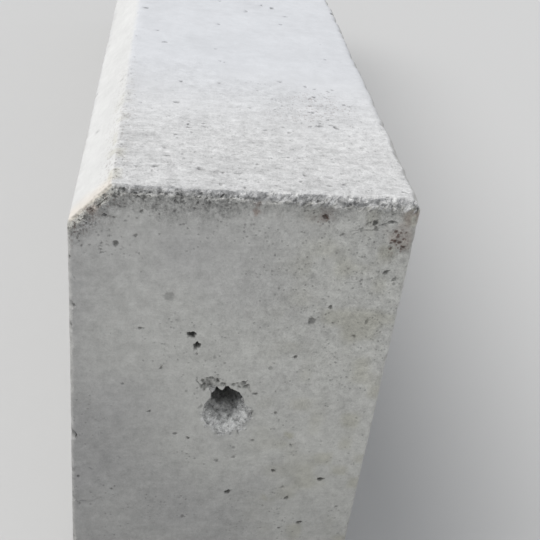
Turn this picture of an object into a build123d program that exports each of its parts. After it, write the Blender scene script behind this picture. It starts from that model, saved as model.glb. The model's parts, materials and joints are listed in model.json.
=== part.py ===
from build123d import *
import os

# A concrete kerb stone, cast in one piece: a straight block with a flat bevel along its road-side top
# edge, worn arrises and a blind pin hole in the middle of each end for the lifting pins.
# Units are millimetres. Z is up, the length runs along Y and the road side faces -X. The origin is the
# middle of the underside. The near end, at -Y, is the one whose pin hole has a broken mouth.

# Block
KERB_LENGTH = 1000.0
KERB_WIDTH = 150.0
KERB_HEIGHT = 250.0

# Bevel between the road face and the top
BEVEL_RUN = 18.0
BEVEL_RISE = 19.0

# Arrises: the long ones are rounded by the mould, the ones round each end are sharper
LONG_ARRIS_RADIUS = 3.0
END_ARRIS_RADIUS = 2.0

# Pin holes, on the middle of the width
PIN_HOLE_RADIUS = 8.0
PIN_HOLE_DEPTH = 60.0
PIN_HOLE_BELOW_TOP = 114.0

# Mouth of the far hole: a plain flare left by the tapered collar of the mould's pin
FLARE_REACH = 2.5
FLARE_DEPTH = 3.0

# Mouth of the near hole: the concrete has broken away, furthest below the hole. The reaches say how far
# the break goes past the hole's wall, at equal steps round it, anticlockwise from +X
BREAK_REACHES = (1.0, 1.0, 1.5, 3.0, 2.0, 7.0, 13.5, 9.5)
BREAK_DEPTH = 8.0

END_FACE_Y = KERB_LENGTH / 2
PIN_HOLE_HEIGHT = KERB_HEIGHT - PIN_HOLE_BELOW_TOP


def end_plane(side):
    """An end face at its pin hole's axis, with Z outwards and Y up. side is -1 for near, 1 for far."""
    axis_point = (0, side * END_FACE_Y, PIN_HOLE_HEIGHT)
    return Plane(origin=axis_point, x_dir=(-side, 0, 0), z_dir=(0, side, 0))


def break_rim():
    """The broken mouth's rim in the end face, around the hole's axis. Its points lie at equal steps of
    the curve's parameter, as they do on the round wall's end, so that the loft between them is straight."""
    count = len(BREAK_REACHES)
    points = [
        Vector(PIN_HOLE_RADIUS + reach, 0).rotate(Axis.Z, i * 360 / count)
        for i, reach in enumerate(BREAK_REACHES)
    ]
    return Edge.make_spline(points, periodic=True, parameters=[i / count for i in range(count + 1)])


near_end = end_plane(-1)
far_end = end_plane(1)

with BuildPart() as kerb_stone:
    # Section, drawn across the length
    with BuildSketch(Plane.XZ) as section:
        with BuildLine():
            Polyline(
                (-KERB_WIDTH / 2, 0),
                (KERB_WIDTH / 2, 0),
                (KERB_WIDTH / 2, KERB_HEIGHT),
                (-KERB_WIDTH / 2 + BEVEL_RUN, KERB_HEIGHT),
                (-KERB_WIDTH / 2, KERB_HEIGHT - BEVEL_RISE),
                close=True,
            )
        make_face()
        fillet(section.vertices(), LONG_ARRIS_RADIUS)
    extrude(amount=END_FACE_Y, both=True)

    # Arrises round the two ends
    end_edges = edges().group_by(Axis.Y)[0] + edges().group_by(Axis.Y)[-1]
    fillet(end_edges, END_ARRIS_RADIUS)

    # Pin holes
    with Locations(near_end, far_end):
        Hole(PIN_HOLE_RADIUS, PIN_HOLE_DEPTH)

    # Plain flare at the far hole
    with BuildSketch(far_end):
        Circle(PIN_HOLE_RADIUS + FLARE_REACH)
    with BuildSketch(far_end.offset(-FLARE_DEPTH)):
        Circle(PIN_HOLE_RADIUS)
    loft(mode=Mode.SUBTRACT)

    # Broken mouth at the near hole
    with BuildSketch(near_end):
        with BuildLine():
            add(break_rim())
        make_face()
    with BuildSketch(near_end.offset(-BREAK_DEPTH)):
        Circle(PIN_HOLE_RADIUS)
    loft(mode=Mode.SUBTRACT)

kerb_stone.part.label = "kerb_stone"

os.makedirs("parts", exist_ok=True)
export_step(kerb_stone.part, "parts/kerb_stone.step")
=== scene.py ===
import json
from functools import partialmethod
from itertools import product
from math import atan2, cos, pi, radians, sin, tan

import bpy
import numpy as np
from mathutils import Matrix, Vector
from mathutils.geometry import delaunay_2d_cdt


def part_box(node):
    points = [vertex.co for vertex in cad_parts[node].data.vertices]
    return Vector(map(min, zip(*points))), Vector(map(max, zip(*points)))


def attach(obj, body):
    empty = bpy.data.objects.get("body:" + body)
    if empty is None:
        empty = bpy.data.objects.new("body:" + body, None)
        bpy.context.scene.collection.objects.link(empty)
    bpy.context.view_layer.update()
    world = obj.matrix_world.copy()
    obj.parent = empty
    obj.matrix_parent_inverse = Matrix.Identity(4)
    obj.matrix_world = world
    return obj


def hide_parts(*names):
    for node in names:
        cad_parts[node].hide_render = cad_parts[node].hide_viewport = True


# The looks of a cast concrete kerb stone. Its relief is worked out in millimetres in the CAD's frame,
# with Z up, the length along Y, the road and the bevel at -X and the near end at -Y, and the finished
# mesh is scaled to metres. One closed mesh stands for the CAD's one solid.

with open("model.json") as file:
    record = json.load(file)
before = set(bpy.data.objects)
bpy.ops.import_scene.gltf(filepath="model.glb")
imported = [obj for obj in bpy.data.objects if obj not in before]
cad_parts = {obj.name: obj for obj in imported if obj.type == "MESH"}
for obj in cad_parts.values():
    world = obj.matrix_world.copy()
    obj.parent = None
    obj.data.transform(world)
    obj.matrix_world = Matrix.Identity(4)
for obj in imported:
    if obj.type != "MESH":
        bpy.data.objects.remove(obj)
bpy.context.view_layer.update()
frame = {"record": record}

MM = 0.001

# A length in mm that counts as none, and how near a face a point has to be to lie on it
TINY = 1e-9
ON_FACE = 0.1

# The block and its near pin hole, as the frame gives them
low, high = (np.array(corner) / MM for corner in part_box("kerb_stone"))
LEFT, NEAR, BASE = low
RIGHT, FAR, TOP = high
MOUNTS = {mount["name"]: mount for mount in frame["record"]["mounts"]}
HOLE_RADIUS = MOUNTS["near_pin_hole"]["dims"]["r_mm"]
HOLE_X, _, HOLE_Z = (value / MM for value in MOUNTS["near_pin_hole"]["pos_m"])

# Depth of the holes, bevel and arrises, at the sizes of the plain solid
HOLE_DEPTH = 60.0
BEVEL_RUN = 18.0
BEVEL_RISE = 19.0
LONG_ARRIS_RADIUS = 3.0
END_ARRIS_RADIUS = 2.0

rng = np.random.default_rng(20)


# Random patterns

def lattice(cells, seed):
    """A number from 0 to 1 for each whole-numbered cell, the same each time."""
    mixed = (cells * np.array([374761393, 668265263, 2147483629])).sum(-1) + seed * 1274126177
    mixed = (mixed ^ (mixed >> 13)) & 0xFFFFFFFF
    mixed = (mixed * 1103515245 + 12345) & 0xFFFFFFFF
    mixed = ((mixed ^ (mixed >> 15)) * 1274126177) & 0xFFFFFFFF
    return ((mixed ^ (mixed >> 16)) & 0xFFFFFF) / 0xFFFFFF


def noise(places, size, seed):
    """Smooth numbers from -1 to 1 at these places. size is a spot's width in mm, or one for each axis."""
    scaled = places / np.array(size, float)
    cells = np.floor(scaled).astype(np.int64)
    part = scaled - cells
    part = part ** 3 * (part * (part * 6 - 15) + 10)
    total = 0.0
    for corner in product((0, 1), repeat=3):
        weight = np.prod(np.where(corner, part, 1 - part), axis=-1)
        total = total + weight * lattice(cells + np.array(corner), seed)
    return 2 * total - 1


def layered(places, size, seed, layers=3, keep=0.5, shape=lambda found: found):
    """Noise at a size, and at half of it with a share of the strength, and so on."""
    strengths = [keep ** i for i in range(layers)]
    total = sum(strength * shape(noise(places, np.array(size, float) / 2 ** i, seed + i))
                for i, strength in enumerate(strengths))
    return total / sum(strengths)


def crags(places, size, seed, layers=3):
    """Sharp-edged humps and hollows from -2 to 1, as on broken stone."""
    return layered(places, size, seed, layers, 0.6, lambda found: 1 - 3 * np.abs(found))


def ease(values, start, end):
    """0 up to start, 1 from end on, and smooth between them. end may be below start."""
    part = np.clip((values - start) / (end - start), 0, 1)
    return part * part * (3 - 2 * part)


# The plain block's skin

def unit(vector):
    return vector / np.linalg.norm(vector)


class Outline:
    """The section's outline with rounded corners, walked anticlockwise as seen from the near end."""

    TRIALS = 4000

    def __init__(self, corners, radius):
        self.stretches = []
        self.length = 0.0
        corners = [np.array(corner, float) for corner in corners]
        after = [unit(follow - corner) for corner, follow in zip(corners, corners[1:] + corners[:1])]
        before = after[-1:] + after[:-1]
        turns = [atan2(b[0] * a[1] - b[1] * a[0], b @ a) for b, a in zip(before, after)]
        trims = [radius * tan(turn / 2) for turn in turns]
        for i, corner in enumerate(corners):
            follow = (i + 1) % len(corners)
            outwards = np.array([before[i][1], -before[i][0]])
            centre = corner - before[i] * trims[i] - outwards * radius
            self.add(radius * turns[i], centre, atan2(outwards[1], outwards[0]), radius)
            run = np.linalg.norm(corners[follow] - corner) - trims[i] - trims[follow]
            self.add(run, corner + after[i] * trims[i], after[i], 0)

    def add(self, length, anchor, way, radius):
        if length > TINY:
            self.stretches.append((self.length, length, anchor, way, radius))
            self.length += length

    def at(self, s):
        """Places and outward directions at distances s along the outline."""
        found, facing = np.zeros((len(s), 2)), np.zeros((len(s), 2))
        for start, length, anchor, way, radius in self.stretches:
            here = (s >= start - TINY) & (s <= start + length + TINY)
            along = s[here] - start
            if radius:
                angles = way + along / radius
                facing[here] = np.stack([np.cos(angles), np.sin(angles)], -1)
                found[here] = anchor + radius * facing[here]
            else:
                facing[here] = (way[1], -way[0])
                found[here] = anchor + along[:, None] * way
        return found, facing

    def nearest(self, x, z):
        """The distance along the outline at which it comes nearest to a place."""
        s = np.linspace(0, self.length, self.TRIALS, endpoint=False)
        found, _ = self.at(s)
        return s[np.argmin(np.hypot(found[:, 0] - x, found[:, 1] - z))]


SECTION = Outline([
    (0, BASE), (RIGHT, BASE), (RIGHT, TOP), (LEFT + BEVEL_RUN, TOP), (LEFT, TOP - BEVEL_RISE), (LEFT, BASE),
], LONG_ARRIS_RADIUS)
ROUND = SECTION.length
END_ARC = END_ARRIS_RADIUS * pi / 2
STRAIGHT = FAR - NEAR - 2 * END_ARRIS_RADIUS
ALONG = STRAIGHT + 2 * END_ARC


def skin(s, u):
    """Places and facings on the side skin. s runs round the section, and u from the rim of the near
    end's face over its arris, along the block and over the far arris. One of them may be one number."""
    s, u = np.broadcast_arrays(s, u)
    found, facing = SECTION.at(s)
    near_turn = np.clip(u / END_ARRIS_RADIUS, 0, pi / 2)
    far_turn = np.clip((ALONG - u) / END_ARRIS_RADIUS, 0, pi / 2)
    spread = np.minimum(np.sin(near_turn), np.sin(far_turn))
    flat = found - facing * (END_ARRIS_RADIUS * (1 - spread))[:, None]
    y = NEAR + END_ARRIS_RADIUS * (1 - np.cos(near_turn) + np.cos(far_turn))
    y += np.clip(u - END_ARC, 0, STRAIGHT)
    lengthwise = np.cos(far_turn) - np.cos(near_turn)
    return (np.stack([flat[:, 0], y, flat[:, 1]], -1),
            np.stack([facing[:, 0] * spread, lengthwise, facing[:, 1] * spread], -1))


BEVEL_UPWARDS = unit(np.array([BEVEL_RUN, 0.0, BEVEL_RISE]))
BEVEL_OUTWARDS = unit(np.array([-BEVEL_RISE, 0.0, BEVEL_RUN]))
BEVEL_WIDTH = np.hypot(BEVEL_RUN, BEVEL_RISE)
BEVEL_FOOT = np.array([LEFT, NEAR, TOP - BEVEL_RISE])

# The faces that carry pits: a point of each, its two directions and the way it looks
FACES = {
    "near": ((0, NEAR, BASE), (1, 0, 0), (0, 0, 1), (0, -1, 0)),
    "far": ((0, FAR, BASE), (1, 0, 0), (0, 0, 1), (0, 1, 0)),
    "top": ((0, NEAR, TOP), (1, 0, 0), (0, 1, 0), (0, 0, 1)),
    "road": ((LEFT, NEAR, BASE), (0, 1, 0), (0, 0, 1), (-1, 0, 0)),
    "back": ((RIGHT, NEAR, BASE), (0, 1, 0), (0, 0, 1), (1, 0, 0)),
    "bevel": (BEVEL_FOOT, (0, 1, 0), BEVEL_UPWARDS, BEVEL_OUTWARDS),
}
FACES = {name: [np.array(part, float) for part in parts] for name, parts in FACES.items()}


def on_face(name, a, b):
    """The place on a face at distances a and b along its two directions."""
    origin, a_way, b_way, _ = FACES[name]
    return origin + a_way * a + b_way * b


def inside_by(places):
    """How far places lie inside the section's sharp outline, in mm."""
    bevel = -(places - BEVEL_FOOT) @ BEVEL_OUTWARDS
    sides = [places[:, 0] - LEFT, RIGHT - places[:, 0], places[:, 2] - BASE, TOP - places[:, 2], bevel]
    return np.min(sides, axis=0)


def below_rim(places):
    """How far places lie below the top face and the bevel, in mm."""
    return np.minimum(TOP - places[:, 2], -(places - BEVEL_FOOT) @ BEVEL_OUTWARDS)


# Mouths of the pin holes

# The near mouth's rim: its reach from the axis at each angle from +X towards +Z
NEAR_RIM = {
    2: 8.3, 23: 8.0, 45: 7.9, 70: 7.8, 82: 7.9, 87: 8.8, 91: 9.4, 97: 9.4, 102: 8.7, 107: 7.8, 116: 7.8,
    120: 8.8, 122: 10.6, 126: 11.8, 132: 12.6, 138: 12.2, 144: 10.8, 150: 9.2, 167: 8.2, 182: 9.8,
    203: 11.4, 220: 14.2, 232: 16.4, 243: 17.8, 254: 19.5, 263: 20.9, 270: 21.5, 279: 21.6, 289: 19.4,
    302: 18.0, 313: 17.4, 326: 15.0, 337: 12.6, 347: 9.2,
}
# How far the ragged rim strays from those reaches, how wide its teeth are, and its own mean reach
RIM_STRAY = 1.8
RIM_TOOTH = 3.2
RIM_MEAN = 14

# How deep the near break is where the round wall starts, at each angle, and how steeply it starts:
# below 1 it drops away at the rim, above 1 it is a ramp
NEAR_BREAK_DEPTH = {
    0: 4.0, 40: 2.5, 90: 3.0, 140: 3.5, 180: 5.5, 215: 7.0, 250: 6.5, 280: 6.2, 310: 6.0, 340: 5.0,
}
NEAR_BREAK_POWER = {
    0: 0.6, 40: 0.5, 90: 0.4, 140: 0.4, 180: 0.4, 215: 0.45, 250: 0.9, 280: 1.3, 310: 1.4, 340: 0.9,
}
FAR_FLARE_REACH = 2.5
FAR_FLARE_DEPTH = 3.0


def round_table(table, angles):
    """Values between those of a table that goes by degrees round a circle."""
    return np.interp(np.degrees(angles), list(table), list(table.values()), period=360)


def ring_angles(points):
    return np.arange(points) * 2 * pi / points


def round_hole(angles):
    """Directions away from the hole's axis at these angles."""
    return np.stack([np.cos(angles), np.zeros(len(angles)), np.sin(angles)], -1)


class Mouth:
    """A pin hole with its mouth. side is -1 for the near end and 1 for the far one. Its break or flare is
    built in steps of rings, each with so many points. reach is the rim's, and depth and power say how
    deep the break goes and how steeply it starts, as one number or as one for each point."""

    def __init__(self, side, steps, points, reach, depth, power):
        self.side, self.steps, self.points, self.depth, self.power = side, steps, points, depth, power
        self.angles = ring_angles(points)
        self.around = round_hole(self.angles)
        self.rim = np.broadcast_to(reach, points)
        self.face_y = NEAR if side < 0 else FAR

    def outside_by(self, places):
        """How far places of the end face lie outside the rim, in mm."""
        x, z = places[:, 0] - HOLE_X, places[:, 2] - HOLE_Z
        return np.hypot(x, z) - np.interp(np.arctan2(z, x), self.angles, self.rim, period=2 * pi)

    def ring(self, radius, depth):
        """Places round the hole at these radii and depths."""
        places = np.array([HOLE_X, self.face_y, HOLE_Z]) + self.around * np.reshape(radius, (-1, 1))
        places[:, 1] -= self.side * np.reshape(depth, -1)
        return places


def near_reach(angles):
    reach = round_table(NEAR_RIM, angles)
    ragged = layered(round_hole(angles) * RIM_MEAN, RIM_TOOTH, 31, 3, 0.7)
    ragged *= np.clip((reach - HOLE_RADIUS) / 4, 0.15, 1)
    return np.maximum(reach + RIM_STRAY * ragged, HOLE_RADIUS - 0.2)


NEAR_POINTS = 216
near_angles = ring_angles(NEAR_POINTS)
near_mouth = Mouth(
    side=-1, steps=30, points=NEAR_POINTS, reach=near_reach(near_angles),
    depth=round_table(NEAR_BREAK_DEPTH, near_angles), power=round_table(NEAR_BREAK_POWER, near_angles))
far_mouth = Mouth(
    side=1, steps=5, points=72, reach=HOLE_RADIUS + FAR_FLARE_REACH, depth=FAR_FLARE_DEPTH, power=1.0)


# Pits and air holes

# Those that can be told apart, by face: distances a and b along its directions, radius, depth, how much
# longer the pit is than wide, and the angle at which it lies
SEEN_PITS = {
    "near": [
        (-19.5, 175.6, 1.9, 2.8, 1.3, 165), (-16.7, 169.6, 1.8, 2.5, 1.3, 62),
        (-16.7, 164.5, 0.8, 0.6, 1.0, 0), (-30.6, 196.4, 2.4, 0.5, 1.0, 0),
        (-54.8, 222.8, 1.5, 1.2, 1.1, 67), (35.1, 186.2, 1.9, 1.0, 1.2, 62), (5.3, 73.0, 1.6, 2.0, 1.5, 46),
        (53.6, 83.5, 1.5, 1.9, 1.5, 20), (46.6, 50.0, 1.4, 1.3, 1.4, 8), (37.1, 68.8, 1.2, 1.2, 1.4, 24),
        (27.8, 89.0, 1.1, 1.4, 1.1, 20), (42.6, 194.3, 1.1, 1.3, 1.4, 77), (30.2, 164.8, 1.1, 1.2, 1.4, 19),
        (60.9, 187.0, 1.1, 0.7, 1.6, 85), (64.9, 214.4, 1.1, 1.2, 1.6, 18),
        (-43.1, 178.3, 1.0, 0.9, 1.3, 14), (69.2, 210.8, 1.1, 0.7, 1.5, 44), (6.5, 98.4, 1.0, 0.6, 1.1, 12),
        (56.4, 178.2, 0.9, 0.7, 1.4, 165), (35.9, 45.3, 1.0, 0.9, 1.1, 42), (34.0, 77.0, 0.9, 0.6, 1.2, 43),
        (24.4, 128.9, 0.8, 0.9, 1.1, 0), (-24.2, 113.8, 0.9, 0.9, 1.1, 13),
        (-17.3, 111.0, 0.9, 0.9, 1.1, 18), (-32.8, 155.2, 0.8, 0.7, 1.8, 50),
        (-37.5, 128.2, 0.8, 0.8, 1.4, 17), (-50.4, 144.8, 0.8, 0.6, 1.4, 136),
        (-54.7, 74.3, 0.8, 0.7, 1.2, 14), (35.0, 107.5, 0.7, 0.8, 1.0, 0), (-46.5, 227.0, 0.8, 0.7, 1.1, 0),
        (-59.5, 236.2, 0.9, 0.8, 1.7, 0), (33.7, 241.2, 1.1, 1.2, 1.2, 170),
        (55.6, 239.4, 1.4, 1.3, 1.2, 80), (56.6, 236.8, 1.0, 0.9, 1.1, 70), (62.9, 240.4, 1.2, 1.1, 1.8, 6),
        (50.0, 236.4, 0.8, 0.6, 1.4, 20), (-12.9, 148.2, 0.6, 0.7, 1.2, 120),
        (-11.4, 142.6, 0.6, 0.6, 1.2, 60), (9.2, 146.4, 0.8, 0.8, 1.3, 30), (14.9, 110.4, 0.8, 0.7, 1.2, 0),
        (-2.2, 95.7, 0.7, 0.7, 1.0, 0), (-17.4, 54.2, 0.7, 0.7, 1.0, 0), (65.0, 62.5, 0.8, 0.6, 1.3, 40),
        (-72.9, 110.8, 1.5, 1.8, 1.4, 95), (-73.2, 189.0, 1.1, 1.3, 1.3, 20),
        (-71.7, 82.7, 0.7, 0.8, 1.3, 10), (-70.9, 62.8, 0.6, 0.6, 1.3, 0),
        (-74.0, 177.9, 0.7, 0.8, 1.4, 80), (-74.1, 214.7, 0.6, 0.7, 1.4, 80),
        (-8.1, 150.0, 0.7, 0.8, 1.8, 160), (-5.0, 148.0, 0.7, 0.8, 1.2, 40),
        (-11.6, 145.2, 0.9, 0.9, 1.2, 90), (7.2, 148.2, 0.9, 1.0, 1.6, 20), (4.2, 147.4, 0.6, 0.7, 1.2, 0),
    ],
    "top": [
        (-20.4, 21.4, 1.4, 1.2, 1.4, 170), (-11.4, 19.9, 1.4, 0.9, 2.2, 140),
        (-4.2, 19.0, 1.1, 0.8, 2.4, 0), (48.0, 74.8, 1.7, 1.2, 1.6, 115), (39.6, 75.7, 1.4, 1.0, 2.4, 16),
        (37.8, 92.4, 1.3, 1.3, 1.4, 5), (-31.0, 93.7, 1.2, 1.1, 1.3, 0), (-31.1, 55.1, 0.9, 0.8, 1.6, 0),
        (-25.2, 64.0, 1.0, 0.8, 1.6, 175), (12.1, 66.8, 1.0, 0.6, 1.5, 24),
        (57.5, 52.8, 1.1, 0.6, 1.2, 150), (24.9, 132.5, 1.0, 0.8, 1.2, 0), (-34.2, 31.8, 0.9, 0.8, 2.0, 3),
        (-35.8, 40.2, 0.8, 0.8, 1.2, 20), (34.8, 233.6, 1.1, 1.0, 1.2, 0), (39.3, 251.4, 1.2, 0.7, 1.1, 0),
        (-51.3, 245.9, 1.7, 1.3, 1.1, 0), (36.8, 20.6, 1.2, 0.6, 2.8, 171),
        (-28.9, 122.6, 0.9, 0.8, 1.2, 0), (-43.0, 202.8, 1.0, 0.8, 1.1, 0), (-8.8, 177.6, 0.9, 0.7, 1.2, 0),
        (-5.2, 223.8, 1.0, 0.8, 1.2, 0), (41.4, 113.7, 0.9, 0.8, 1.5, 0), (59.3, 103.4, 0.9, 0.7, 1.6, 20),
        (-40.1, 20.8, 1.1, 0.7, 2.8, 22), (35.0, 49.2, 1.0, 0.5, 2.8, 3), (53.0, 125.4, 0.9, 0.7, 1.3, 80),
    ],
}

# Rusty specks on the near end, each also a small pit: x, z and radius
RUSTY_SPECKS = [
    (65.8, 235.9, 0.8), (67.0, 233.2, 0.8), (66.0, 231.2, 1.0), (68.1, 230.5, 0.9), (70.0, 228.0, 1.0),
    (64.8, 227.2, 0.7), (64.4, 229.9, 0.6), (70.2, 235.4, 0.6), (68.0, 235.4, 0.5), (69.8, 232.0, 0.6),
]

# Pits strewn at random: face, how many, a from and to, b from and to, least and largest radius
SPREAD_PITS = [
    ("far", 46, (-68, 68), (8, 240), (0.9, 2.2)),
    ("top", 26, (-52, 70), (120, 985), (0.8, 1.5)),
    ("road", 64, (10, 990), (8, 225), (1.1, 2.7)),
    ("back", 68, (10, 990), (8, 242), (1.1, 2.7)),
    ("bevel", 10, (60, 990), (3, 22), (0.8, 1.3)),
]

# How many small pits lie in the places where they crowd
FRONT_OF_TOP_PITS = 66
STRIP_PITS = 230
BEVEL_END_PITS = 14
CORNER_PITS = 34
PATCH_PITS = 30
BEVEL_LINE_PITS = 48

# The middle of the pitted patch on the top: x and the distance from the near end
PATCH = (43.0, 95.0)

# How far from a hole's mouth a pit has to be, and how far from a face the points that its pits can sink
CLEAR_OF_MOUTH = 3.0
NEAR_FACE = 3.0


def random_pit(a, b, least, largest):
    radius = least + (largest - least) * rng.random() ** 2.2
    return a, b, radius, radius * rng.uniform(0.55, 1.05), rng.uniform(1, 1.7), rng.uniform(0, 180)


def add_end_pits(near):
    """The honeycombed strip under the near end's upper arris, the bevel's end and the corner below it."""
    for _ in range(STRIP_PITS):
        x = rng.uniform(LEFT + 17, RIGHT - 3)
        depth = rng.exponential(5.0 if x < -8 else 2.2)
        if 0.4 < depth < 15 and (x < 0 or rng.random() < 0.4):
            near.append(random_pit(x, TOP - depth, 0.35, 0.9 if x < 0 else 0.75))
    for _ in range(BEVEL_END_PITS):
        edge = BEVEL_FOOT + BEVEL_UPWARDS * rng.uniform(0, BEVEL_WIDTH)
        edge = edge - BEVEL_OUTWARDS * (0.4 + rng.exponential(1.6))
        near.append(random_pit(edge[0], edge[2], 0.4, 0.8))
    for _ in range(CORNER_PITS):
        x, z = rng.uniform(LEFT + 3, LEFT + 24), rng.uniform(TOP - 34, TOP - 16)
        near.append(random_pit(x, z, 0.35, 0.8))


def add_top_pits(top, bevel):
    """The pitted patch on the top, and the pitted line between the top and the bevel."""
    for _ in range(PATCH_PITS):
        top.append(random_pit(rng.normal(PATCH[0], 6), rng.normal(PATCH[1], 16), 0.5, 0.95))
    for _ in range(BEVEL_LINE_PITS):
        along = 3 + rng.exponential(80)
        if along < 300:
            top.append(random_pit(LEFT + BEVEL_RUN + abs(rng.normal(0, 3.5)), along, 0.35, 0.8))
            bevel.append(random_pit(along, BEVEL_WIDTH - abs(rng.normal(0, 2.5)), 0.3, 0.6))


def make_pits():
    pits = {name: list(SEEN_PITS.get(name, [])) for name in FACES}
    pits["near"] += [(x, z, radius, 0.6 * radius, 1.3, 40) for x, z, radius in RUSTY_SPECKS]
    for face, count, a_range, b_range, radii in SPREAD_PITS:
        for _ in range(count):
            pits[face].append(random_pit(rng.uniform(*a_range), rng.uniform(*b_range), *radii))
    for _ in range(FRONT_OF_TOP_PITS):
        pits["top"].append(random_pit(rng.uniform(-54, 72), 3 + rng.exponential(45), 0.4, 0.9))
    add_end_pits(pits["near"])
    add_top_pits(pits["top"], pits["bevel"])

    # None of them breaks into a hole's mouth
    for name, mouth in (("near", near_mouth), ("far", far_mouth)):
        clear = mouth.outside_by(np.array([on_face(name, *pit[:2]) for pit in pits[name]])) > CLEAR_OF_MOUTH
        pits[name] = [pit for pit, kept in zip(pits[name], clear) if kept]
    return pits


pits = make_pits()


# Cracks and flakes on the near end

# Cracks at the hole: points in x and z from its axis, half width and depth
HOLE_CRACKS = [
    ([(10.6, 4.6), (13.7, 5.2), (16.5, 6.1), (19.4, 6.4), (22.8, 7.0)], 0.34, 0.8),
    ([(12.2, -5.1), (12.7, -8.0)], 0.45, 0.8),
    ([(-4.4, -21.6), (-1.2, -20.8), (3.4, -21.4)], 0.34, 0.45),
    ([(6.9, -18.8), (7.4, -21.4)], 0.40, 0.6),
    ([(-14.5, -7.3), (-12.0, -3.1)], 0.60, 0.35),
    ([(-15.8, 13.9), (-14.2, 10.9), (-13.0, 9.0)], 0.34, 0.5),
    ([(9.2, 10.2), (9.8, 7.0), (11.4, 5.4)], 0.28, 0.4),
]
# All cracks, the others with points in x and z
CRACKS = [([(HOLE_X + x, HOLE_Z + z) for x, z in knots], *sizes) for knots, *sizes in HOLE_CRACKS] + [
    ([(41.5, 232.4), (46.0, 235.2), (49.5, 236.0), (52.5, 239.2), (55.6, 240.6), (58.4, 238.9),
      (63.6, 240.6)], 0.40, 0.55),
    ([(47.0, 233.4), (51.0, 235.6), (54.4, 235.4), (57.8, 237.4), (61.4, 238.6)], 0.30, 0.3),
    ([(-75.0, 86.0), (-72.5, 89.2), (-69.6, 90.6), (-66.4, 89.8), (-64.6, 88.0)], 0.35, 0.25),
    ([(-75.0, 66.5), (-71.5, 64.4), (-66.5, 64.2), (-62.0, 66.2)], 0.35, 0.25),
]

# Shallow flakes gone beside the near hole: x and z from its axis, and radius
FLAKES = [
    (-12.4, 11.8, 1.6), (-11.2, 8.6, 2.0), (-9.2, 13.0, 2.2), (-8.8, 9.8, 2.7), (-6.0, 12.0, 2.2),
    (-5.8, 9.8, 2.0), (-3.0, 10.6, 1.9), (-11.4, 6.3, 1.3), (2.6, 10.8, 1.1), (4.8, 10.9, 1.5),
    (6.9, 11.0, 1.9), (5.2, 9.0, 1.5), (7.8, 9.2, 1.6),
]
FLAKE_DEPTH = 1.3


# Chips: balls of concrete missing from the arrises, each a centre and a radius

S_RIGHT_TOP = SECTION.nearest(RIGHT, TOP)
S_BEVEL_FOOT = SECTION.nearest(LEFT, TOP - BEVEL_RISE)
LONG_ARRISES = [
    SECTION.nearest(RIGHT, BASE), S_RIGHT_TOP, SECTION.nearest(LEFT + BEVEL_RUN, TOP), S_BEVEL_FOOT,
    SECTION.nearest(LEFT, BASE),
]
MIDDLE_OF_ARRIS = END_ARC / 2

# Those seen on the near end's upright arrises: x, z, radius and bite
SEEN_CHIPS = [
    (LEFT, 111.0, 4.4, 1.9), (LEFT, 189.5, 3.6, 1.5), (LEFT, 86.0, 3.0, 1.0), (LEFT, 66.0, 3.4, 1.0),
    (RIGHT, 205.0, 3.0, 0.9), (RIGHT, 150.0, 3.6, 0.8), (RIGHT, 60.0, 3.2, 0.8),
]
# The notch in the long arris at the back of the top: distance from the near end, radius and bite
NOTCH = (268.0, 4.0, 1.8)

# How many more lie at random on the near end's upper arris, round each end and along the block
UPPER_CHIPS = 120
NEAR_CHIPS = 60
FAR_CHIPS = 80
LONG_CHIPS = 70


def make_chips():
    chips = []

    def chip(s, u, radius, bite):
        """A ball that goes into the skin by bite."""
        found, facing = skin([s % ROUND], u)
        chips.append((found[0] + facing[0] * (radius - bite), radius))

    def random_radius(least, largest):
        return least + (largest - least) * rng.random() ** 3

    def strew(count, least, largest, deepest, draw_place):
        for _ in range(count):
            radius = random_radius(least, largest)
            chip(*draw_place(), radius, radius * rng.uniform(0.2, deepest))

    for _ in range(UPPER_CHIPS):
        s = rng.uniform(S_RIGHT_TOP - 4, S_BEVEL_FOOT + 6)
        radius = random_radius(0.5, 2.2 if abs(s - S_RIGHT_TOP) > 80 else 1.3)
        u = np.clip(MIDDLE_OF_ARRIS + rng.normal(0, 1.2), 0.05, 6)
        chip(s, u, radius, radius * rng.uniform(0.2, 0.55))
    for x, z, radius, bite in SEEN_CHIPS:
        chip(SECTION.nearest(x, z), MIDDLE_OF_ARRIS, radius, bite)
    strew(NEAR_CHIPS, 0.9, 2.6, 0.45, lambda: (rng.uniform(0, ROUND), MIDDLE_OF_ARRIS))
    chip(S_RIGHT_TOP, *NOTCH)
    strew(FAR_CHIPS, 1.2, 4.4, 0.5, lambda: (rng.uniform(0, ROUND), ALONG - MIDDLE_OF_ARRIS))
    strew(LONG_CHIPS, 1.2, 4.8, 0.45, lambda: (LONG_ARRISES[rng.integers(5)], rng.uniform(10, ALONG - 10)))
    return chips


chips = make_chips()


# How fine the mesh is

# Distances in mm, and the mesh sizes at them
SIDES_FROM_NEAR = (0, 3, 12, 60, 200), (1.0, 1.6, 2.8, 5, 8.5)
TOP_FROM_NEAR = (0, 4, 14, 60, 110, 300, 500), (0.56, 0.8, 1.25, 1.75, 2.6, 5, 8.5)
BACK_ARRIS_FROM_NEAR = (0, 80, 320, 900), (0.9, 1.8, 3, 5)
SIDES_FROM_FAR = (0, 4, 20, 80), (2.0, 2.6, 4.5, 8.5)
NEAR_FACE_BELOW_RIM = (0, 7, 13, 30), (0.52, 0.58, 1.15, 2.1)
NEAR_FACE_FROM_MOUTH = (0, 5, 10, 16), (0.5, 0.65, 1.2, 2.1)
FAR_FACE_FROM_MOUTH = (0, 4, 10), (1.0, 1.8, 3.0)
LEAST_ON_BASE = 8
BACK_ARRIS_REACH = 6


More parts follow.
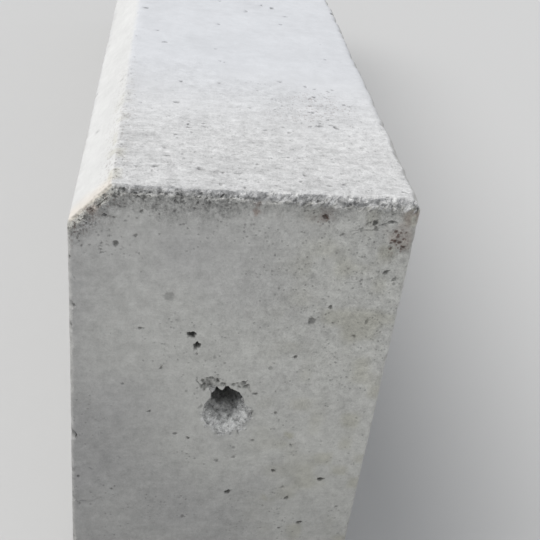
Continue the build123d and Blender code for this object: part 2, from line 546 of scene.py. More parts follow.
def mesh_size(places):
    from_near, from_far = places[:, 1] - NEAR, FAR - places[:, 1]
    rim = below_rim(places)
    size = np.interp(from_near, *SIDES_FROM_NEAR)
    size = np.where(places[:, 2] < BASE + ON_FACE, np.maximum(size, LEAST_ON_BASE), size)
    size = size + (np.interp(from_near, *TOP_FROM_NEAR) - size) * ease(rim, 5, 1)
    size = np.minimum(size, np.interp(from_far, *SIDES_FROM_FAR))
    at_back_arris = np.hypot(TOP - places[:, 2], RIGHT - places[:, 0]) < BACK_ARRIS_REACH
    size = np.where(at_back_arris, np.minimum(size, np.interp(from_near, *BACK_ARRIS_FROM_NEAR)), size)
    near_face = np.interp(rim, *NEAR_FACE_BELOW_RIM)
    near_face = np.minimum(near_face, np.interp(near_mouth.outside_by(places), *NEAR_FACE_FROM_MOUTH))
    size = np.where(from_near < ON_FACE, near_face, size)
    far_face = np.interp(far_mouth.outside_by(places), *FAR_FACE_FROM_MOUTH)
    return np.where(from_far < ON_FACE, far_face, size)


class Finer:
    """Asks for a finer mesh round pits, cracks and chips. A grid of bins keeps the search short."""

    BIN = 12.0
    MOST_SLACK = 2.5

    def __init__(self, spots):
        self.bins = {}
        for place, reach, size in spots:
            lows = np.floor((place - reach - self.MOST_SLACK) / self.BIN).astype(int)
            highs = np.floor((place + reach + self.MOST_SLACK) / self.BIN).astype(int)
            for key in product(*(range(a, b + 1) for a, b in zip(lows, highs))):
                self.bins.setdefault(key, []).append((*place, reach, size))
        self.bins = {key: np.array(rows) for key, rows in self.bins.items()}

    def apply(self, places, sizes, slack):
        """slack is how far a place stands for, so that no spot falls between two places."""
        sizes = sizes.copy()
        slack = np.broadcast_to(np.minimum(slack, self.MOST_SLACK), len(places))
        keys = np.floor(places / self.BIN).astype(int)
        order = np.lexsort(keys.T)
        in_order = keys[order]
        starts = np.flatnonzero(np.r_[True, (in_order[1:] != in_order[:-1]).any(1)])
        for start, end in zip(starts, np.r_[starts[1:], len(order)]):
            rows = self.bins.get(tuple(in_order[start]))
            if rows is None:
                continue
            here = order[start:end]
            gaps = np.linalg.norm(places[here][:, None] - rows[None, :, :3], axis=2)
            wanted = np.where(gaps < rows[:, 3] + slack[here][:, None], rows[:, 4], np.inf).min(1)
            sizes[here] = np.minimum(sizes[here], wanted)
        return sizes


# Least and largest mesh size in the pits of a face, and in chips, and the size at a crack
PIT_SIZES = {"near": (0.3, 0.42), "top": (0.35, 0.6)}
PLAIN_PIT_SIZES = (1.0, 2.0)
CHIP_SIZES = (0.5, 1.3)
CRACK_SIZE = 0.33


def fine_spots():
    for name, rows in pits.items():
        sizes = PIT_SIZES.get(name, PLAIN_PIT_SIZES)
        for a, b, radius, _, stretch, _ in rows:
            yield on_face(name, a, b), radius * stretch ** 0.5 * 1.15, np.clip(radius / 2, *sizes)
    for centre, radius in chips:
        yield centre, radius * 1.02, np.clip(radius / 3.0, *CHIP_SIZES)
    for knots, half_width, _ in CRACKS:
        for start, end in zip(np.array(knots)[:-1], np.array(knots)[1:]):
            for part in np.arange(0, 1, 0.5 / np.linalg.norm(end - start)):
                yield on_face("near", *(start + (end - start) * part)), 3 * half_width, CRACK_SIZE


finer = Finer(fine_spots())

# How much of its own size a cell's middle stands for, when a fine spot is looked for
CELL_SLACK = 0.3


def wanted_size(places, cell):
    return finer.apply(places, mesh_size(places), CELL_SLACK * cell)


# Points and triangles of the plain block

# The size of the first cells and stretches, and the size below which none is halved
COARSEST = 9.0
SMALLEST = 0.24
# A cell is halved while it is over its wanted size by this factor, and its point then strays from its
# middle by up to this share of its size
SPLIT_OVER = 1.2
JITTER = 0.22

# How far the inner points of the skin keep from its seam, and how near two points are one
FROM_SEAM = 0.12
ONE_POINT = 1e-7


def split_line(length, place_at):
    """Distances along a line, closer together where the mesh is finer. place_at gives their places."""
    edges = np.linspace(0, length, int(np.ceil(length / COARSEST)) + 1)
    while True:
        middles = (edges[1:] + edges[:-1]) / 2
        gaps = np.diff(edges)
        split = (gaps > wanted_size(place_at(middles), gaps) * SPLIT_OVER) & (gaps > SMALLEST)
        if not split.any():
            return edges
        edges = np.sort(np.r_[edges, middles[split]])


def split_area(width, height, place_at, keep=lambda cells, size: slice(None)):
    """Points in a rectangle, closer together where the mesh is finer. keep picks some of its cells."""
    across, up = int(np.ceil(width / COARSEST)), int(np.ceil(height / COARSEST))
    cells = np.array([((i + 0.5) * width / across, (j + 0.5) * height / up)
                      for i in range(across) for j in range(up)])
    size = np.array([width / across, height / up])
    found = []
    while len(cells):
        wanted = wanted_size(place_at(cells), size.max())
        split = (size.max() > wanted * SPLIT_OVER) & (size.min() > SMALLEST)
        done = cells[~split]
        done = done[keep(done, size.max())]
        found.append(done + rng.uniform(-JITTER, JITTER, done.shape) * size)
        cells = np.concatenate([cells[split] + size / 4 * corner for corner in product((-1, 1), repeat=2)])
        size = size / 2
    return np.concatenate(found)


class Block:
    """The mesh as it grows: points, the way the skin looks at each, and triangles."""

    def __init__(self):
        self.places, self.facings, self.triangles = np.zeros((0, 3)), np.zeros((0, 3)), []

    def add(self, places, facings):
        """Adds points and returns their numbers."""
        start = len(self.places)
        self.places = np.concatenate([self.places, places])
        self.facings = np.concatenate([self.facings, np.broadcast_to(facings, places.shape)])
        return np.arange(start, len(self.places))

    def fill(self, corners, turned):
        self.triangles.append(corners[:, ::-1] if turned else corners)


def triangulate(flat, numbers, borders=()):
    """Triangles between flat points, as rows of the numbers given for them. borders are edges to keep."""
    _, _, faces, originals, _, _ = delaunay_2d_cdt(
        [Vector(point) for point in flat.tolist()], list(borders), [], 0, ONE_POINT, True)
    first = np.array([numbers[group[0]] for group in originals])
    return first[np.array(faces)]


def pairs(a, b):
    return np.stack(np.broadcast_arrays(a, b), -1)


def add_side_skin(block):
    """The top, the bevel, the sides, the base and the arrises. Returns the numbers of both rims."""
    near_s = split_line(ROUND, lambda s: skin(s, 0)[0])
    far_s = split_line(ROUND, lambda s: skin(s, ALONG)[0])
    seam_u = split_line(ALONG, lambda u: skin(0, u)[0])[1:-1]
    inner = split_area(ROUND, ALONG, lambda cells: skin(*cells.T)[0])
    inner = np.clip(inner, FROM_SEAM, np.array([ROUND, ALONG]) - FROM_SEAM)

    near = block.add(*skin(near_s[:-1], 0))
    far = block.add(*skin(far_s[:-1], ALONG))
    seam = block.add(*skin(0, seam_u))
    field = block.add(*skin(*inner.T))

    flat = np.concatenate([
        pairs(near_s, 0), pairs(far_s, ALONG), pairs(0, seam_u), pairs(ROUND, seam_u), inner])
    numbers = np.concatenate([np.r_[near, near[0]], np.r_[far, far[0]], seam, seam, field])
    block.fill(triangulate(flat, numbers), True)
    return near, far


def add_end_face(block, rim, mouth):
    """An end's flat face between its rim and the pin hole's mouth. Returns the mouth's numbers."""
    def place_at(cells):
        return np.stack([cells[:, 0] + LEFT, np.full(len(cells), mouth.face_y), cells[:, 1] + BASE], -1)

    def keep(cells, size):
        here = place_at(cells)
        return (inside_by(here) > END_ARRIS_RADIUS + size * 0.5) & (mouth.outside_by(here) > size * 0.45)

    facing = (0, mouth.side, 0)
    rim_places = block.places[rim]
    mouth_places = mouth.ring(mouth.rim, 0)
    inner = place_at(split_area(RIGHT - LEFT, TOP - BASE, place_at, keep))
    ring = block.add(mouth_places, facing)
    field = block.add(inner, facing)

    flat = np.concatenate([rim_places, mouth_places, inner])[:, [0, 2]]
    start = len(rim)
    borders = [(start + i, start + (i + 1) % mouth.points) for i in range(mouth.points)]
    found = triangulate(flat, np.concatenate([rim, ring, field]), borders)
    outside = mouth.outside_by(block.places[found].mean(1)) > 0
    on_ring = np.isin(found, ring).all(1)
    block.fill(found[outside | ~on_ring], mouth.side > 0)
    return ring


# Rings along a hole's round wall, and the reach of those on its flat end, as shares of its radius
WALL_RINGS = 14
END_RINGS = (0.7, 0.35)


def add_hole(block, ring, mouth):
    """The mouth's break or flare, the round wall and the flat end. Returns the numbers ring by ring."""
    outwards = np.array([0, mouth.side, 0])
    slanting = 0.5 ** 0.5 * (outwards - mouth.around)
    rings = [ring]
    for step in range(1, mouth.steps + 1):
        part = (step / mouth.steps) ** 1.5
        radius = mouth.rim + (HOLE_RADIUS - mouth.rim) * part
        rings.append(block.add(mouth.ring(radius, mouth.depth * part ** mouth.power), slanting))
    for part in np.linspace(0, 1, WALL_RINGS)[1:] ** 1.4:
        depth = mouth.depth + (HOLE_DEPTH - mouth.depth) * part
        rings.append(block.add(mouth.ring(HOLE_RADIUS, depth), -mouth.around))
    for share in END_RINGS:
        rings.append(block.add(mouth.ring(HOLE_RADIUS * share, HOLE_DEPTH), outwards))
    middle = block.add(mouth.ring(0.0, HOLE_DEPTH)[:1], outwards)

    for outer, inner in zip(rings[:-1], rings[1:]):
        after_outer, after_inner = np.roll(outer, -1), np.roll(inner, -1)
        block.fill(np.stack([outer, after_outer, inner], -1), mouth.side > 0)
        block.fill(np.stack([after_outer, after_inner, inner], -1), mouth.side > 0)
    last = rings[-1]
    block.fill(np.stack([last, np.roll(last, -1), np.full(mouth.points, middle[0])], -1), mouth.side > 0)
    return rings + [middle]


block = Block()
near_rim, far_rim = add_side_skin(block)
near_rings = add_hole(block, add_end_face(block, near_rim, near_mouth), near_mouth)
far_rings = add_hole(block, add_end_face(block, far_rim, far_mouth), far_mouth)
plain, facing = block.places, block.facings


# Where each kind of surface is, from 0 to 1 at each point

def along_hole(knots, shares):
    """A value for the points of both holes that goes by how many rings in they are, and 0 elsewhere."""
    found = np.zeros(len(plain))
    for rings in (near_rings, far_rings):
        for i, ring in enumerate(rings[1:], 1):
            found[ring] = np.interp(i, knots, shares)
    return found


in_hole = along_hole([0, 1], [1, 1]) > 0
outer = np.where(in_hole, 0.0, 1.0)
from_near, from_far, rim = plain[:, 1] - NEAR, FAR - plain[:, 1], below_rim(plain)
across, upwards = plain[:, 0], plain[:, 2]
from_bevel_line = np.abs(across - LEFT - BEVEL_RUN)
right_part, right_side = ease(across, -25, 15), ease(across, -40, 70)
on_near = np.clip(-facing[:, 1], 0, 1) * outer
on_top = ease(facing[:, 2], 0.8, 0.98) * outer
on_bevel = ease(facing @ BEVEL_OUTWARDS, 0.9, 0.99) * outer


def near_edge(inset, reach, full):
    """How near points are to the near end's upper arris: 1 up to a gap of full, 0 from a gap of reach on.
    The gap is counted from inset below either face."""
    return ease(np.hypot(np.maximum(rim - inset, 0), np.maximum(from_near - inset, 0)), reach, full) * outer


near_arris = near_edge(0.5, 4.5, 0.4)

# The honeycombed strip under that arris, and the broken concrete in the holes' mouths
strip_height = 10 + 5.5 * ease(across, -66, -52) * ease(across, 20, -20) + 3.0 * noise(plain, 12, 5)
strip = ease(rim, strip_height * 1.2, strip_height * 0.2) * ease(from_near, 5, 1.5) * on_near
broken = along_hole([1, 4, 30, 36, 42], [0.3, 1, 1, 0.5, 0.15])
broken[np.concatenate(far_rings[1:])] *= 0.3


# Relief, as a height along the skin's own direction

# Slow swells and shallow dents of the cast faces, and the rough strip
height = 0.28 * layered(plain, 85, 1, 2) + 0.06 * layered(plain, 14, 3, 2)
height += strip * (0.34 * layered(plain, 1.5, 6, 2, 0.8) + 0.12 * noise(plain, 4, 8) - 0.12)

# Ripples from the trowel on the near part of the top
bent = plain + np.array([0, 1.0, 0]) * (2.5 * noise(plain, 28, 11))[:, None]
uneven_reach = from_near * (1 + 0.45 * layered(plain, 45, 13, 2))
ripples = on_top * np.interp(uneven_reach, [0, 3, 30, 65, 130], [0.4, 1, 0.9, 0.4, 0.05])
height += ripples * (0.24 * layered(bent, (20, 2.1, 8), 12, 2) + 0.1 * noise(bent, (7, 1.4, 8), 15))

# Broken concrete
height += broken * (0.9 * crags(plain, 4.5, 17) + 0.55 * noise(plain, 1.5, 21) - 0.1)

moved = plain + facing * height[:, None]


# Worn arrises

def plane_off(reach, first, second):
    """Planes an arris off, with the wear reaching this far on both its faces, and returns the depth of it.
    first and second each hold a face's outward direction and the points' depths below that face."""
    ways = first[0] + second[0]
    gone = np.maximum(reach - first[1] - second[1], 0) / 2
    gone *= ease(np.sum(facing * ways, axis=-1), 0.2, 0.8) * outer
    moved[:] -= gone[:, None] * ways
    return gone


def wear(mean, swing, size, seed, keep=0.7):
    """How far an arris is worn, in mm, unevenly along it."""
    return mean + swing * layered(plain, size, seed, 3, keep)


up = np.array([0, 0, 1.0])
below_top, below_bevel = TOP - upwards, -(plain - BEVEL_FOOT) @ BEVEL_OUTWARDS
upper = (np.where((below_top < below_bevel)[:, None], up, BEVEL_OUTWARDS), rim)
top = (up, below_top)
near_end = (np.array([0, -1.0, 0]), from_near)
far_end = (np.array([0, 1.0, 0]), from_far)
back = (np.array([1.0, 0, 0]), RIGHT - across)
road = (np.array([-1.0, 0, 0]), across - LEFT)

# Fins of cement lean down over the right part of the near end's upper arris
leaning = np.stack([across + upwards, plain[:, 1], across - upwards], -1) * 0.5 ** 0.5
fins = right_part * noise(leaning, (8, 10, 2.1), 59) * ease(rim, 0.1, 1.6)
crumbling = 3.2 + right_part + 1.5 * layered(plain, 9, 9, 3, 0.7)
crumbling = crumbling + 0.9 * crags(plain, 3.2, 90, 2) + 2.8 * fins
worn = plane_off(crumbling, upper, near_end)
for side in (back, road):
    plane_off(wear(1.6, 1.5, 8, 93), side, near_end)
    plane_off(wear(1.8, 1.6, 14, 95), side, far_end)
plane_off(wear(1.8, 1.6, 14, 97), upper, far_end)
plane_off(wear(2.4, 2.8, 13, 91, 0.75), top, back)


# Pits, cracks, flakes and chips

def bowl(a, b, radius, depth, stretch, lie):
    """A pit's depth at distances a and b from its middle. Its outline is lobed, unless it is a round one."""
    turn = radians(lie)
    long_way = (a * cos(turn) + b * sin(turn)) / stretch ** 0.5
    short_way = (b * cos(turn) - a * sin(turn)) * stretch ** 0.5
    angle = np.arctan2(short_way, long_way)
    uneven = min(4 * (stretch - 1), 1)
    lobes = 1 + uneven * (0.14 * np.sin(3 * angle + lie) + 0.08 * np.sin(5 * angle + 2 * lie))
    share = np.clip(1 - (np.hypot(long_way, short_way) / (radius * lobes)) ** 2, 0, 1)
    return depth * share ** 0.45


def line_gap(points, knots):
    """How far points lie from a line through knots."""
    gaps = []
    for start, end in zip(knots[:-1], knots[1:]):
        way = end - start
        part = np.clip((points - start) @ way / (way @ way), 0, 1)
        gaps.append(np.linalg.norm(points - start - part[:, None] * way, axis=1))
    return np.min(gaps, axis=0)


def sink(name):
    """How deep the pits of a face go at each of its points, with the points' numbers and places on it."""
    origin, a_way, b_way, outwards = FACES[name]
    on_it = np.abs((plain - origin) @ outwards) < NEAR_FACE
    numbers = np.flatnonzero((facing @ outwards > 0.5) & ~in_hole & on_it)
    places = plain[numbers]
    a, b = (places - origin) @ a_way, (places - origin) @ b_way
    a_bent = a + 0.35 * noise(places, 1.7, 76)
    b_bent = b + 0.35 * noise(places, 1.7, 77)
    sunk = np.zeros(len(numbers))
    for pit_a, pit_b, radius, depth, stretch, lie in pits[name]:
        reach = radius * stretch ** 0.5 * 1.3
        here = (np.abs(a_bent - pit_a) < reach) & (np.abs(b_bent - pit_b) < reach)
        deeper = bowl(a_bent[here] - pit_a, b_bent[here] - pit_b, radius, depth, stretch, lie)
        sunk[here] = np.maximum(sunk[here], deeper)
    return numbers, a, b, sunk


def crack_depth(places, a, b):
    """How deep the near end's cracks go at its points."""
    bent = np.stack([a, b], -1) + 0.7 * noise(places, 2.0, 71)[:, None]
    broken_up = ease(noise(places, 2.2, 72), -0.4, 0.3)
    return np.max([
        depth * broken_up * ease(line_gap(bent, np.array(knots)), half_width * 1.6, half_width * 0.4)
        for knots, half_width, depth in CRACKS], axis=0)


def flake(places, a, b):
    """Where the near end has flaked, from 0 to 1, and how deep, at its points."""
    inside = np.max([radius - np.hypot(a - HOLE_X - x, b - HOLE_Z - z) for x, z, radius in FLAKES], axis=0)
    inside += 0.9 * layered(places, 2.0, 73, 2)
    gone = ease(inside, 0, 0.9)
    rough = 0.8 + 0.9 * crags(places, 2.4, 75, 2)
    return gone, FLAKE_DEPTH * gone * np.maximum(rough, 0.1)


# Darkening inside pits, cracks and flakes, by their depth: painted shade where these hollows hold shadow, and
# dirt gathered in them
recess_shade_and_dirt, flaked = np.zeros(len(plain)), np.zeros(len(plain))
for name, (_, _, _, outwards) in FACES.items():
    numbers, a, b, sunk = sink(name)
    if name == "near":
        sunk = np.maximum(sunk, crack_depth(plain[numbers], a, b))
        flaked[numbers], flakes = flake(plain[numbers], a, b)
        recess_shade_and_dirt[numbers] = 0.75 * np.clip((flakes - 0.7) / 1.7, 0, 1)
        moved[numbers] -= outwards * flakes[:, None]
    moved[numbers] -= outwards * sunk[:, None]
    recess_shade_and_dirt[numbers] = np.maximum(recess_shade_and_dirt[numbers], np.clip(sunk / 2.2, 0, 1) ** 0.7)

# Chips push the points inside each ball out to its surface
chipped = np.zeros(len(plain))
for centre, radius in chips:
    near_by = np.flatnonzero((np.abs(moved - centre) < radius).all(1) & ~in_hole)
    offset = moved[near_by] - centre
    gap = np.linalg.norm(offset, axis=1)
    inside = (gap < radius) & (gap > TINY)
    chosen = near_by[inside]
    moved[chosen] += (radius / gap[inside] - 1)[:, None] * offset[inside]
    chipped[chosen] += radius - gap[inside]
moved[:, 2] = np.maximum(moved[:, 2], BASE)


# Colour masks, kept on the mesh's points

def spot(a, b, width, seed, face="near"):
    """A soft, uneven patch round a place on a face."""
    gap = np.linalg.norm(plain - on_face(face, a, b), axis=1)
    return ease(gap + 0.45 * width * noise(plain, width * 0.5, seed), width, width * 0.2)


def speckled(mask, size, seed, start, end):
    return mask * ease(noise(plain, size, seed), start, end)


def strongest(*masks):
    return np.maximum.reduce(masks)


# The broken mouth is darker further in, as painted shade with some dirt by the bore, and its lower rim has a
# pale ragged fringe
inwards = np.minimum(from_near, from_far) + 2.2 * noise(plain, 2.6, 81) - 2.0 * ease(across - HOLE_X, -2, 9)
fringe = on_near * ease(near_mouth.outside_by(plain) + 2.6 * noise(plain, 1.9, 83), 2.2, -0.6)
fringe *= ease(upwards - HOLE_Z, 0, -7)

# The worn arris's upper part, painted lighter as a painted highlight on crumbs that face up, and the front of
# the top with an uneven end
lip = ease(worn, 0, 0.6) * ease(rim, 3.2, 0.8)
front_of_top = on_top * np.interp(uneven_reach, [0, 50, 140], [1, 0.9, 0])

# Darkening in the honeycombed strip and between the fins, partly dirt and partly painted shade in these
# hollows, and dirt in patches on the front of the top and by the rusty specks
dirt_and_shade = strip * (0.65 + 0.5 * right_part + 0.4 * layered(plain, 3, 55, 2)) * (1 - 0.6 * ease(worn, 0, 0.6))
dirt_and_shade += 0.6 * right_part * ease(worn, 0, 0.5) * (ease(fins, 0.05, 0.5) + 0.7 * ease(rim, 0.8, 3))
dirt_and_shade += 0.35 * front_of_top * ease(layered(plain, (32, 9, 20), 62, 2), 0.05, 0.55)
dirt_and_shade += 0.6 * spot(67, 233, 13, 38)

# How strong the fine grain is, kept as a share of the most that a mask can hold
MOST_GRAIN = 4.0
grain = 1.0 - 0.7 * on_top - 0.72 * on_bevel + right_side * on_near * ease(upwards, 90, 200)
grain += (1.5 * front_of_top + (3.0 - 1.6 * right_part) * strip + 1.2 * near_arris
          + 2.4 * np.maximum(broken, fringe) + 1.5 * flaked)

MASKS = {
    # A lighter tone on the top and bevel, partly their own colour and partly painted light where the sun
    # falls; on the worn arris's upper part it is painted highlight
    "upper": np.clip(on_top + on_bevel + (0.6 + 0.4 * right_part) * lip, 0, 1),
    # The bevel's own tone, partly painted light from the sun on the left
    "bevel": on_bevel,
    # A bluish tint towards the back of the top and bevel: painted sheen of the sky
    "sky_sheen": np.maximum(on_top, on_bevel) * ease(from_near, 40, 170),
    "warm": np.clip(
        0.5 + 0.6 * layered(plain, 55, 54, 3) + 0.5 * (ease(across, -80, 5) - 0.5) * on_near, 0, 1),
    "cream": on_bevel * ease(from_near + 4 * noise(plain, 9, 53), 16, 3),
    "stained": strongest(
        0.6 * speckled(spot(70.5, 242.5, 7.0, 47), 2.5, 48, -0.6, 0.3),
        0.5 * spot(68.0, 232.5, 8.0, 57),
        0.8 * spot(3.8, 241.6, 2.4, 44),
        0.6 * spot(4.0, 245.6, 2.6, 58),
        0.6 * spot(-65.0, 238.2, 4.0, 60),
    ),
    "rust": strongest(
        0.85 * spot(33.9, 241.0, 2.1, 41),
        0.45 * spot(33.3, 241.3, 4.4, 40),
        0.25 * speckled(spot(33.9, 241.0, 8.0, 40), 1.2, 39, -0.3, 0.3),
        *(0.75 * spot(x, z, 1.3 * radius, 61) for x, z, radius in RUSTY_SPECKS),
    ),
    "freckled": strongest(
        0.8 * spot(67.0, 231.5, 9.0, 42),
        0.6 * spot(33.9, 241.0, 6, 43),
        0.5 * strip * ease(-across, 40, 60),
        0.24 * (1 - on_near) * ease(from_bevel_line, 10, 2) * ease(from_near, 220, 60) * outer,
        0.28 * spot(*PATCH, 32, 56, "top"),
    ),
    "rows": front_of_top * np.clip(0.75 + 0.6 * layered(plain, 22, 14, 2), 0.25, 1.2),
    "yellow": strongest(
        0.55 * speckled(spot(31.5, 112.5, 5.5, 45), 2.2, 46, -0.3, 0.3),
        0.35 * speckled(spot(26.0, 67.0, 5.0, 49), 3, 50, -0.3, 0.3),
        0.34 * speckled(on_near * ease(across, 0, 60), 9, 51, -0.1, 0.6),
        0.30 * speckled(np.maximum(on_top, on_bevel) * ease(from_bevel_line, 6, 1) * ease(from_near, 160, 20),
                        5, 52, -0.2, 0.5),
        0.28 * near_arris * ease(-across, 50, 60),
    ),
    "fins": right_part * near_edge(1, 5, 1.5),
    # Dirt, with painted shade in the strip and between the fins
    "dirt_and_shade": np.clip(dirt_and_shade, 0, 1),
    # Painted shade and dirt in pits, cracks, flakes and chips, more in chips well below the top and bevel
    "recess_shade_and_dirt": np.clip(recess_shade_and_dirt + (0.12 + 0.3 * ease(rim, 15, 30)) * np.clip(chipped - 0.3, 0, 1.5), 0, 1),
    "fresh": np.clip(np.maximum(broken, fringe), 0, 1),
    # Painted shade deeper in both holes, with some dirt by the bore
    "deep": in_hole * ease(inwards, 0.8, 5.5),
    # Darker towards the bottom, and more so at the left of the near end: painted shade, with some dirt
    # towards the base
    "low": ease(upwards + 0.45 * across * on_near, 210, 45) * outer,
    "grain": np.clip(grain / MOST_GRAIN, 0, 1),
}


# The mesh

def place_object(name, data):
    made = bpy.data.objects.new(name, data)
    bpy.context.scene.collection.objects.link(made)
    return made


def build_mesh():
    mesh = bpy.data.meshes.new("kerb_stone_skin")
    mesh.from_pydata((moved * MM).tolist(), [], np.concatenate(block.triangles).tolist())
    mesh.polygons.foreach_set("use_smooth", np.full(len(mesh.polygons), True))
    for name, values in MASKS.items():
        layer = mesh.attributes.new(name, "FLOAT", "POINT")
        layer.data.foreach_set("value", values.astype(np.float32))
    mesh.update()
    return place_object("kerb_stone_cast", mesh)


# Materials

class Nodes:
    """Short calls for the nodes of a material or the world. Sizes are in mm."""

    def __init__(self, owner):
        self.owner = owner
        owner.use_nodes = True
        self.tree = owner.node_tree
        self.tree.nodes.clear()

    def add(self, kind, inputs=None, **settings):
        node = self.tree.nodes.new("ShaderNode" + kind)
        for key, value in settings.items():
            setattr(node, key, value)
        for key, value in (inputs or {}).items():
            if isinstance(value, bpy.types.NodeSocket):
                self.tree.links.new(value, node.inputs[key])
            else:
                node.inputs[key].default_value = value
        return node

    def chain(self, operation, *values):
        total = values[0]
        for value in values[1:]:
            total = self.add("Math", {0: total, 1: value}, operation=operation).outputs[0]
        return total

    plus, minus = partialmethod(chain, "ADD"), partialmethod(chain, "SUBTRACT")
    times, most = partialmethod(chain, "MULTIPLY"), partialmethod(chain, "MAXIMUM")

    def mask(self, name):
        return self.add("Attribute", attribute_name=name).outputs["Fac"]

    def stretched(self, place, scale):
        return self.add("Mapping", {"Vector": place, "Scale": scale}).outputs[0]

    def noise(self, place, size, detail=2.0, rough=0.5):
        inputs = {"Vector": place, "Scale": 1 / (size * MM), "Detail": detail, "Roughness": rough}
        return self.add("TexNoise", inputs).outputs["Fac"]

    def swing(self, place, size, detail=2.0, rough=0.5):
        """Noise about 0."""
        return self.minus(self.noise(place, size, detail, rough), 0.5)

    def warp(self, place, scale, reach):
        """Places that stray by up to about reach, in metres."""
        stray = self.add("TexNoise", {"Vector": place, "Scale": scale}).outputs["Color"]
        stray = self.add("VectorMath", {0: stray, 1: (reach,) * 3}, operation="MULTIPLY").outputs[0]
        return self.add("VectorMath", {0: place, 1: stray}).outputs[0]

    def remap(self, value, from_low, from_high, to_low=0.0, to_high=1.0):
        ends = {"From Min": from_low, "From Max": from_high, "To Min": to_low, "To Max": to_high}
        return self.add("MapRange", {"Value": value, **ends}).outputs["Result"]

    def mix(self, share, a, b, blend="MIX"):
        inputs = {0: share, 6: a, 7: b}
        return self.add("Mix", inputs, data_type="RGBA", blend_type=blend).outputs[2]

    def pores(self, place, cell, radius, chance, crowding):
        """Round spots in some cells of a pattern, 1 in their middles and 0 outside. crowding, about 0, adds
        to the chance that a cell has one."""
        cells = self.add("TexVoronoi", {"Vector": place, "Scale": 1 / (cell * MM)})
        pick = self.add("SeparateColor", {"Color": cells.outputs["Color"]}).outputs[0]
        reach = self.remap(self.plus(pick, crowding), 1 - chance, 1.0, 0.0, radius / cell)
        return self.remap(self.minus(reach, cells.outputs["Distance"]), 0.0, 0.08)

    def surface(self, inputs):
        shader = self.add("BsdfPrincipled", inputs)
        self.add("OutputMaterial", {"Surface": shader.outputs[0]})
        return self.owner


END_TONE = (0.447, 0.442, 0.438, 1)
# The colours that the masks turn it to, one over the other
LAYERS = {
    "warm": (0.589, 0.587, 0.556, 1),
    # Top, bevel and worn arris tone: partly their own colour, partly painted light on faces turned up to the
    # light
    "upper": (0.585, 0.585, 0.587, 1),
    # Painted sheen of the sky: bluish towards the back of the top and bevel
    "sky_sheen": (0.555, 0.566, 0.590, 1),
    # The bevel lighter still: partly its own colour, partly painted light from the sun on the left
    "bevel": (0.612, 0.612, 0.606, 1),
    "cream": (0.62, 0.585, 0.54, 1),
    "fresh": (0.70, 0.70, 0.685, 1),
    "yellow": (0.42, 0.40, 0.29, 1),
    "stained": (0.365, 0.300, 0.265, 1),
}
# Pale cement of the lines over the arris, partly painted highlight on their ridges
FIN_TONE_AND_HIGHLIGHT = (0.66, 0.66, 0.655, 1)
RUST_TONE = (0.125, 0.074, 0.057, 1)

# How dark these masks make the concrete where they are 1. The masks of pits and chips, of the strip and fins,
# of the holes and of the lower part are partly painted shade and partly dirt
SHADES = {"recess_shade_and_dirt": 0.14, "dirt_and_shade": 0.81, "deep": 0.5, "low": 0.81}

# Heights of the finest relief, in metres
GRAIN_BUMP = 0.0006
PORE_BUMP = 0.0005
ROW_BUMP = 0.0008
FIN_BUMP = 0.0005


def all_pores(n, place, warped, grain):
    """Pores of three sizes, in crowds, with more of them where the grain is strong."""
    crowding = n.plus(n.times(n.swing(place, 22, 2, 0.6), 0.9), n.remap(grain, 1.0, 2.0, 0.0, 0.19))
    tiny = n.times(n.pores(warped, 1.3, 0.6, 0.05, crowding), 0.8)
    small = n.pores(warped, 2.4, 0.65, 0.12, crowding)
    large = n.pores(warped, 6.5, 1.3, 0.22, crowding)
    return n.times(n.most(tiny, small, large), n.remap(n.noise(place, 4, 1), 0.38, 0.6, 0.2, 1.0))


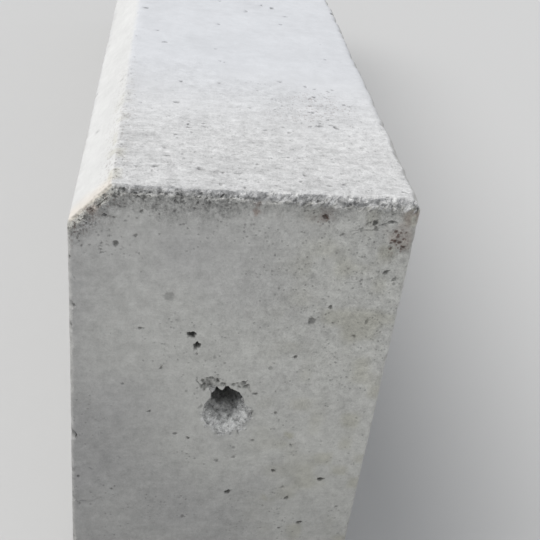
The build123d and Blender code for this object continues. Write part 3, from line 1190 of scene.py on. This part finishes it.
def concrete():
    n = Nodes(bpy.data.materials.new("cast_concrete"))
    place = n.add("TexCoord").outputs["Object"]
    warped = n.warp(place, 900.0, 0.0008)
    grain = n.times(n.mask("grain"), MOST_GRAIN)
    rows = n.mask("rows")

    colour = END_TONE
    for name, tone in LAYERS.items():
        colour = n.mix(n.mask(name), colour, tone)

    # Thin pale lines of cement that lean over the arris, partly painted highlight on the fins' ridges
    lean = {"Vector": place, "Rotation": (0, radians(-45), 0), "Scale": (6, 6, 1)}
    fin_place = n.add("Mapping", lean, vector_type="TEXTURE").outputs[0]
    fin = n.times(n.remap(n.noise(fin_place, 1.1, 1), 0.47, 0.60), n.mask("fins"))
    colour = n.mix(fin, colour, FIN_TONE_AND_HIGHLIGHT)

    # Brightness: clouds, level streaks, sand, mottling, broken gravel and the rows left by the trowel
    cloud = n.times(n.swing(place, 24), 0.20)
    streak = n.times(n.swing(n.stretched(place, (0.09, 0.09, 1.0)), 1.6, 2, 0.7), 0.10)
    sand = n.times(n.swing(place, 5, 5, 0.95), grain)
    patchy = n.times(n.swing(place, 6, 1, 0.6), n.remap(rows, 0, 1, 0.22, 0.06))
    mottle = n.times(patchy, n.remap(grain, 0.3, 1, 0.3, 1))
    gravel = n.times(n.swing(place, 2.4, 3, 0.8), 2.2, n.mask("fresh"))
    row = n.times(n.swing(n.stretched(warped, (0.16, 1.0, 1.0)), 1.8, 3, 0.8), rows)
    shade = n.plus(1.0, n.plus(cloud, streak, sand, mottle, gravel, n.times(row, 0.65)))

    # Pores and the dark masks of painted shade and dirt, then freckles and rust over all
    darkness = n.times(n.remap(grain, 0.3, 1.2, 0.06, 0.40), n.remap(rows, 0, 1, 1, 0.5))
    pores = n.times(all_pores(n, place, warped, grain), darkness)
    shade = n.times(shade, n.minus(1.0, pores))
    for name, darkest in SHADES.items():
        shade = n.times(shade, n.remap(n.mask(name), 0, 1, 1, darkest))
    grey = n.add("CombineColor", {0: shade, 1: shade, 2: shade}).outputs[0]
    colour = n.mix(1.0, colour, grey, "MULTIPLY")
    freckles = n.times(n.pores(warped, 1.25, 0.8, 0.65, 0.0), n.mask("freckled"))
    colour = n.mix(n.most(n.mask("rust"), freckles), colour, RUST_TONE)

    bumps = n.minus(n.times(sand, GRAIN_BUMP), n.times(pores, PORE_BUMP))
    bumps = n.plus(bumps, n.times(row, ROW_BUMP), n.times(fin, FIN_BUMP))
    bump = n.add("Bump", {"Height": bumps, "Distance": 1.0, "Strength": 1.0})
    return n.surface({"Base Color": colour, "Roughness": 0.88, "Specular IOR Level": 0.3,
                      "Normal": bump.outputs["Normal"]})


kerb = build_mesh()
kerb.data.materials.append(concrete())
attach(kerb, "root")
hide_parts("kerb_stone")


# Pale floor

FLOOR_SIZE = 40.0
FLOOR_TONE = (0.52, 0.52, 0.52, 1)


def add_floor():
    half = FLOOR_SIZE / 2
    corners = [(-half, -half, 0), (half, -half, 0), (half, half, 0), (-half, half, 0)]
    mesh = bpy.data.meshes.new("floor")
    mesh.from_pydata(corners, [], [(0, 1, 2, 3)])
    mesh.materials.append(Nodes(bpy.data.materials.new("pale_floor")).surface({
        "Base Color": FLOOR_TONE, "Roughness": 1.0, "Specular IOR Level": 0.0}))
    ground = place_object("floor", mesh)


add_floor()


# Light: an even sky, and a soft sun high on the left and a little behind

SKY = (0.95, 0.97, 1.0, 1)
SKY_STRENGTH = 0.64
BACKDROP = (0.66, 0.66, 0.655, 1)
SUN_STRENGTH = 2.45
SUN_COLOUR = (1.0, 0.985, 0.96)
SUN_WIDTH = 45
SUN_FROM = Vector((-0.50, 0.20, 0.84))


def add_lights():
    n = Nodes(bpy.data.worlds.new("sky"))
    sky = n.add("Background", {"Color": SKY, "Strength": SKY_STRENGTH})
    backdrop = n.add("Background", {"Color": BACKDROP})
    seen = n.add("LightPath").outputs["Is Camera Ray"]
    mixed = n.add("MixShader", {0: seen, 1: sky.outputs[0], 2: backdrop.outputs[0]})
    n.add("OutputWorld", {"Surface": mixed.outputs[0]})
    bpy.context.scene.world = n.owner

    sun = bpy.data.lights.new("soft_sun", "SUN")
    sun.energy = SUN_STRENGTH
    sun.angle = radians(SUN_WIDTH)
    sun.color = SUN_COLOUR
    holder = place_object("soft_sun", sun)
    holder.rotation_euler = SUN_FROM.to_track_quat("Z", "Y").to_euler()


add_lights()


# Camera, as the photograph was taken

CAMERA_PLACE = Vector((-36.6, -824.1, 422.5)) * MM
CAMERA_AIM = Vector((12.7, -500.0, 213.0)) * MM
CAMERA_ROLL = 7.4
LENS = 58.72
SENSOR_WIDTH = 36.0
NEAREST_SEEN = 0.01


def add_camera():
    data = bpy.data.cameras.new("camera")
    data.lens = LENS
    data.sensor_width = SENSOR_WIDTH
    data.clip_start = NEAREST_SEEN
    holder = place_object("camera", data)
    aim = (CAMERA_AIM - CAMERA_PLACE).to_track_quat("-Z", "Y").to_matrix().to_4x4()
    roll = Matrix.Rotation(radians(CAMERA_ROLL), 4, "Z")
    holder.matrix_world = Matrix.Translation(CAMERA_PLACE) @ aim @ roll
    bpy.context.scene.camera = holder


add_camera()

bpy.context.scene.view_settings.view_transform = "Standard"
